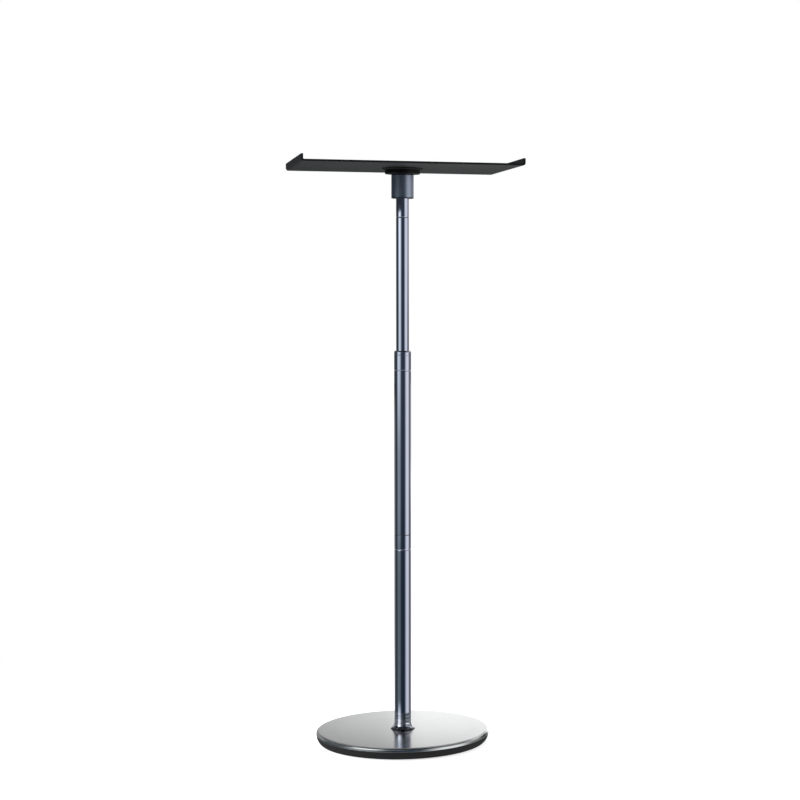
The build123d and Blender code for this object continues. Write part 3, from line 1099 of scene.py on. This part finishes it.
class STAND_OT_tray(bpy.types.Operator):
    """Bend the tray's sheet and sink its screw holes"""

    bl_idname = "stand.tray"
    bl_label = "Tray"

    def execute(self, context):
        sizes = context.scene.stand_sizes
        low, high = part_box("tray")
        bm = bmesh.new()
        corners = [(low.x, high.z), (low.x, low.z), (high.x, low.z), (high.x, high.z)]
        verts = [bm.verts.new((x, low.y, z)) for x, z in corners]
        edges = [bm.edges.new((verts[i], verts[i + 1])) for i in range(3)]
        swept = bmesh.ops.extrude_edge_only(bm, edges=edges)["geom"]
        moved = [part for part in swept if isinstance(part, bmesh.types.BMVert)]
        bmesh.ops.translate(bm, verts=moved, vec=(0.0, high.y - low.y, 0.0))
        bevel_edges(bm, edges_at(bm, low.z, 0), sizes.tray_bend + sizes.tray_sheet, 8)
        bmesh.ops.recalc_face_normals(bm, faces=bm.faces)
        if min(bm.faces, key=lambda face: face.calc_center_median().z).normal.z > 0:
            bmesh.ops.reverse_faces(bm, faces=bm.faces)
        bmesh.ops.solidify(bm, geom=bm.faces[:], thickness=sizes.tray_sheet)
        bmesh.ops.recalc_face_normals(bm, faces=bm.faces)
        bevel_edges(bm, edges_at(bm, high.z, 1), sizes.lip_corner, 4)
        square = [edge for edge in bm.edges if edge.calc_face_angle(0.0) > SQUARE_ANGLE]
        bevel_edges(bm, square, sizes.edge_break, 2)
        coat = grained_coat("black_powder_coat", context.scene.stand_finishes.coat_colour)
        piece = make_piece("tray_bent", bm, coat, "tray", "black_coated_steel", "tray")
        self.sink_screws(context, sizes, piece, low.z)
        dress_node("tray_screws", grained_coat("blackened_screw", SCREW_COLOUR))
        return {"FINISHED"}

    def sink_screws(self, context, sizes, piece, underside):
        top = underside + sizes.tray_sheet
        head = sizes.screw_head_radius + FIT_GAP
        depth = sizes.tray_sheet + 2 * SINK_SPARE
        bm = bmesh.new()
        for i in range(SCREW_COUNT):
            turn = math.tau * (i + 0.5) / SCREW_COUNT
            middle = Vector((math.cos(turn), math.sin(turn), 0.0)) * sizes.screw_circle_radius
            bmesh.ops.create_cone(
                bm,
                cap_ends=True,
                segments=32,
                radius1=head - sizes.tray_sheet - SINK_SPARE,
                radius2=head + SINK_SPARE,
                depth=depth,
                matrix=Matrix.Translation(middle + Vector((0.0, 0.0, top + SINK_SPARE - depth / 2))),
            )
        cutter = add_object("screw_sinks", mesh_of("screw_sinks", bm))
        cut = piece.modifiers.new("Screw sinks", "BOOLEAN")
        cut.operation = "DIFFERENCE"
        cut.solver = "EXACT"
        cut.object = cutter
        piece.modifiers.move(len(piece.modifiers) - 1, 0)
        settled = piece.evaluated_get(context.evaluated_depsgraph_get())
        piece.data = bpy.data.meshes.new_from_object(settled)
        piece.modifiers.clear()
        bpy.data.objects.remove(cutter)


def soft_step(low, high, value):
    """0 below low, 1 above high, and a smooth rise between."""
    if high <= low:
        return 1.0 if value >= high else 0.0
    share = min(max((value - low) / (high - low), 0.0), 1.0)
    return share * share * (3.0 - 2.0 * share)


def panel_tone(turn, level, ground, panels):
    """Sum of soft-edged panels over a ground tone, at an azimuth and a rise, level or distance."""
    tone = list(ground)
    for start, end, before, after, low, high, below, above, colour in panels:
        middle = (start + end) / 2
        off = (turn - middle + 180.0) % 360.0 - 180.0
        half = (end - start) / 2
        share = soft_step(-half - before, -half, off) * (1.0 - soft_step(half, half + after, off))
        share *= soft_step(low - below, low, level) * (1.0 - soft_step(high, high + above, level))
        tone = [have + share * part for have, part in zip(tone, colour)]
    return [max(part, DIMMEST) for part in tone]


class STAND_OT_stage(bpy.types.Operator):
    """Set the floor, the reflections, the lamps and the camera"""

    bl_idname = "stand.stage"
    bl_label = "Stage"

    def execute(self, context):
        settings = context.scene.stand_stage
        self.floor()
        self.dome(settings)
        self.card(settings)
        self.flag(settings)
        self.patch(settings)
        self.world(context, settings)
        self.lamps(settings)
        self.camera(context, settings)
        context.scene.view_settings.view_transform = "Standard"
        return {"FINISHED"}

    def floor(self):
        """A pale floor that keeps the stand's shadow and goes over into white round it."""
        bm = bmesh.new()
        bmesh.ops.create_grid(bm, x_segments=1, y_segments=1, size=FLOOR_HALF)
        mesh = mesh_of("studio_floor", bm)
        made = bpy.data.materials.new("white_floor")
        tree = bare_tree(made)
        out = add_node(tree, "ShaderNodeOutputMaterial")
        light = add_node(tree, "ShaderNodeLightPath")
        paint = add_node(tree, "ShaderNodeBsdfDiffuse", Color=FLOOR_PAINT)
        glow = add_node(tree, "ShaderNodeEmission", Color=FLOOR_GLOW)
        far = add_node(tree, "ShaderNodeEmission", Color=WHITE)
        place = add_node(tree, "ShaderNodeTexCoord")
        distance = add_node(tree, "ShaderNodeVectorMath")
        distance.operation = "LENGTH"
        fade = add_node(tree, "ShaderNodeMapRange")
        fade.interpolation_type = "SMOOTHSTEP"
        set_sockets(fade, {"From Min": FLOOR_NEAR, "From Max": FLOOR_FAR})
        faded = add_node(tree, "ShaderNodeMixShader")
        both = add_node(tree, "ShaderNodeAddShader")
        pick = add_node(tree, "ShaderNodeMixShader")
        join(place, "Object", distance, 0)
        join(distance, "Value", fade, "Value")
        join(fade, "Result", faded, "Fac")
        join(both, "Shader", faded, 1)
        join(far, "Emission", faded, 2)
        join(paint, "BSDF", both, 0)
        join(glow, "Emission", both, 1)
        join(light, "Is Camera Ray", pick, "Fac")
        join(paint, "BSDF", pick, 1)
        join(faded, "Shader", pick, 2)
        join(pick, "Shader", out, "Surface")
        mesh.materials.append(made)
        floor = add_object("studio_floor", mesh)
        floor.visible_glossy = False

    def dome(self, settings):
        """A far dome of light panels that only reflections see."""
        angles = [math.radians(rise) for rise in DOME_RISES]
        profile = [
            (DOME_RADIUS * max(math.cos(angle), DOME_GAP), DOME_RADIUS * math.sin(angle))
            for angle in angles
        ]

        def tone(turn, place):
            rise = math.degrees(math.atan2(place.z, place.xy.length))
            return panel_tone(turn, rise, DARK, PANELS)

        self.reflection("reflection_dome", settings, profile, tone)

    def card(self, settings):
        """A near card behind the stand, which the base's top mirrors."""
        profile = [(settings.card_distance, level) for level in CARD_LEVELS]

        def tone(turn, place):
            return panel_tone(turn, place.z, (0.0, 0.0, 0.0), CARD)

        self.reflection("reflection_card", settings, profile, tone, CARD_HALF)

    def flag(self, settings):
        """A dark flag at the left, which keeps the left panels off the head."""
        profile = [(settings.flag_distance, settings.flag_level + height) for height in FLAG_HEIGHTS]

        def tone(turn, place):
            return FLAG_TONE

        self.reflection("reflection_flag", settings, profile, tone, FLAG_HALF, FLAG_MIDDLE)

    def patch(self, settings):
        """A pale patch at the left, under the floor, which the pole's lower end mirrors."""
        profile = [(distance, PATCH_LEVEL) for distance in PATCH_DISTANCES]

        def tone(turn, place):
            ground = panel_tone(turn, PATCH_RISE, DARK, PANELS)
            return panel_tone(turn, place.xy.length, ground, PATCH)

        self.reflection("reflection_patch", settings, profile, tone, PATCH_HALF, PATCH_MIDDLE)

    def reflection(self, name, settings, profile, tone, half=math.pi, middle=math.pi):
        """Spins a glowing wall, coloured by its azimuth and place, out of the camera's sight."""
        bm = bmesh.new()
        aim = outward(settings.view_azimuth + middle - half)
        verts = [bm.verts.new(aim * across + Vector((0.0, 0.0, level))) for across, level in profile]
        edges = [bm.edges.new(pair) for pair in zip(verts, verts[1:])]
        spin_round(bm, verts + edges, 2 * half, round(math.degrees(half)), merge=half == math.pi)
        mesh = mesh_of(name, bm)
        tones = mesh.color_attributes.new("tone", "FLOAT_COLOR", "POINT")
        for vert in mesh.vertices:
            turn = math.degrees(math.atan2(vert.co.x, -vert.co.y) - settings.view_azimuth)
            tones.data[vert.index].color = (*tone(turn, vert.co), 1.0)
        mesh.materials.append(self.glow())
        wall = add_object(name, mesh)
        wall.visible_camera = False
        wall.visible_diffuse = False
        wall.visible_transmission = False
        wall.visible_shadow = False

    def glow(self):
        """The light of the reflections' walls, in the tones that their points carry."""
        made = bpy.data.materials.get("panel_glow")
        if made:
            return made
        made = bpy.data.materials.new("panel_glow")
        made.cycles.emission_sampling = "NONE"
        tree = bare_tree(made)
        out = add_node(tree, "ShaderNodeOutputMaterial")
        glow = add_node(tree, "ShaderNodeEmission")
        tone = add_node(tree, "ShaderNodeAttribute")
        tone.attribute_name = "tone"
        join(tone, "Color", glow, "Color")
        join(glow, "Emission", out, "Surface")
        return made

    def world(self, context, settings):
        """White where the camera sees it, and an even light on everything that isn't a reflection."""
        world = bpy.data.worlds.new("studio")
        context.scene.world = world
        tree = bare_tree(world)
        out = add_node(tree, "ShaderNodeOutputWorld")
        light = add_node(tree, "ShaderNodeLightPath")
        ambient = add_node(tree, "ShaderNodeBackground", Color=WHITE, Strength=settings.ambient)
        white = add_node(tree, "ShaderNodeBackground", Color=WHITE)
        seen = add_node(tree, "ShaderNodeMixShader")
        join(light, "Is Camera Ray", seen, "Fac")
        join(ambient, "Background", seen, 1)
        join(white, "Background", seen, 2)
        join(seen, "Shader", out, "Surface")
        world.cycles_visibility.glossy = False

    def lamps(self, settings):
        """Soft round lamps that light the floor and the coated pieces, out of the reflections."""
        for name, turn, rise, distance, size, power in LAMPS:
            lamp = bpy.data.lights.new(name, "AREA")
            lamp.shape = "DISK"
            lamp.size = size
            lamp.energy = power
            held = add_object(name, lamp)
            level = math.radians(rise)
            away = outward(settings.view_azimuth + math.radians(turn)) * math.cos(level)
            away.z = math.sin(level)
            held.location = LAMP_AIM + away * distance
            held.rotation_euler = away.to_track_quat("Z", "Y").to_euler()
            held.visible_glossy = False

    def camera(self, context, settings):
        """The photograph's camera."""
        lens = bpy.data.cameras.new("camera")
        lens.lens = settings.view_lens
        lens.sensor_width = SENSOR_WIDTH
        lens.shift_x = settings.view_shift
        lens.clip_end = VIEW_REACH
        held = add_object("camera", lens)
        turn = settings.view_azimuth
        held.location = outward(turn) * settings.view_distance + Vector((0.0, 0.0, settings.view_height))
        aim = Euler((math.pi / 2 - settings.view_pitch, 0.0, turn + settings.view_yaw)).to_matrix()
        held.rotation_euler = (aim @ Matrix.Rotation(settings.view_roll, 3, "Z")).to_euler()
        context.scene.camera = held


class STAND_PT_dressing(bpy.types.Panel):
    """Lists the stand's pieces, finishes and stage"""

    bl_label = "Projector stand"
    bl_idname = "STAND_PT_dressing"
    bl_space_type = "VIEW_3D"
    bl_region_type = "UI"
    bl_category = "Stand"

    def draw(self, context):
        layout = self.layout
        for operator in OPERATORS:
            layout.operator(operator.bl_idname)
        scene = context.scene
        for settings in (scene.stand_sizes, scene.stand_finishes, scene.stand_stage):
            column = layout.column()
            for name in settings.__annotations__:
                column.prop(settings, name)


OPERATORS = (STAND_OT_base, STAND_OT_foot, STAND_OT_tubes, STAND_OT_head, STAND_OT_tray, STAND_OT_stage)
CLASSES = (StandSizes, StandFinishes, StandStage, *OPERATORS, STAND_PT_dressing)


def register():
    for each in CLASSES:
        bpy.utils.register_class(each)
    bpy.types.Scene.stand_sizes = PointerProperty(type=StandSizes)
    bpy.types.Scene.stand_finishes = PointerProperty(type=StandFinishes)
    bpy.types.Scene.stand_stage = PointerProperty(type=StandStage)


def unregister():
    del bpy.types.Scene.stand_stage
    del bpy.types.Scene.stand_finishes
    del bpy.types.Scene.stand_sizes
    for each in reversed(CLASSES):
        bpy.utils.unregister_class(each)


def main():
    register()
    bpy.ops.stand.base()
    bpy.ops.stand.foot()
    bpy.ops.stand.tubes()
    bpy.ops.stand.head()
    bpy.ops.stand.tray()
    bpy.ops.stand.stage()


if __name__ == "__main__":
    main()
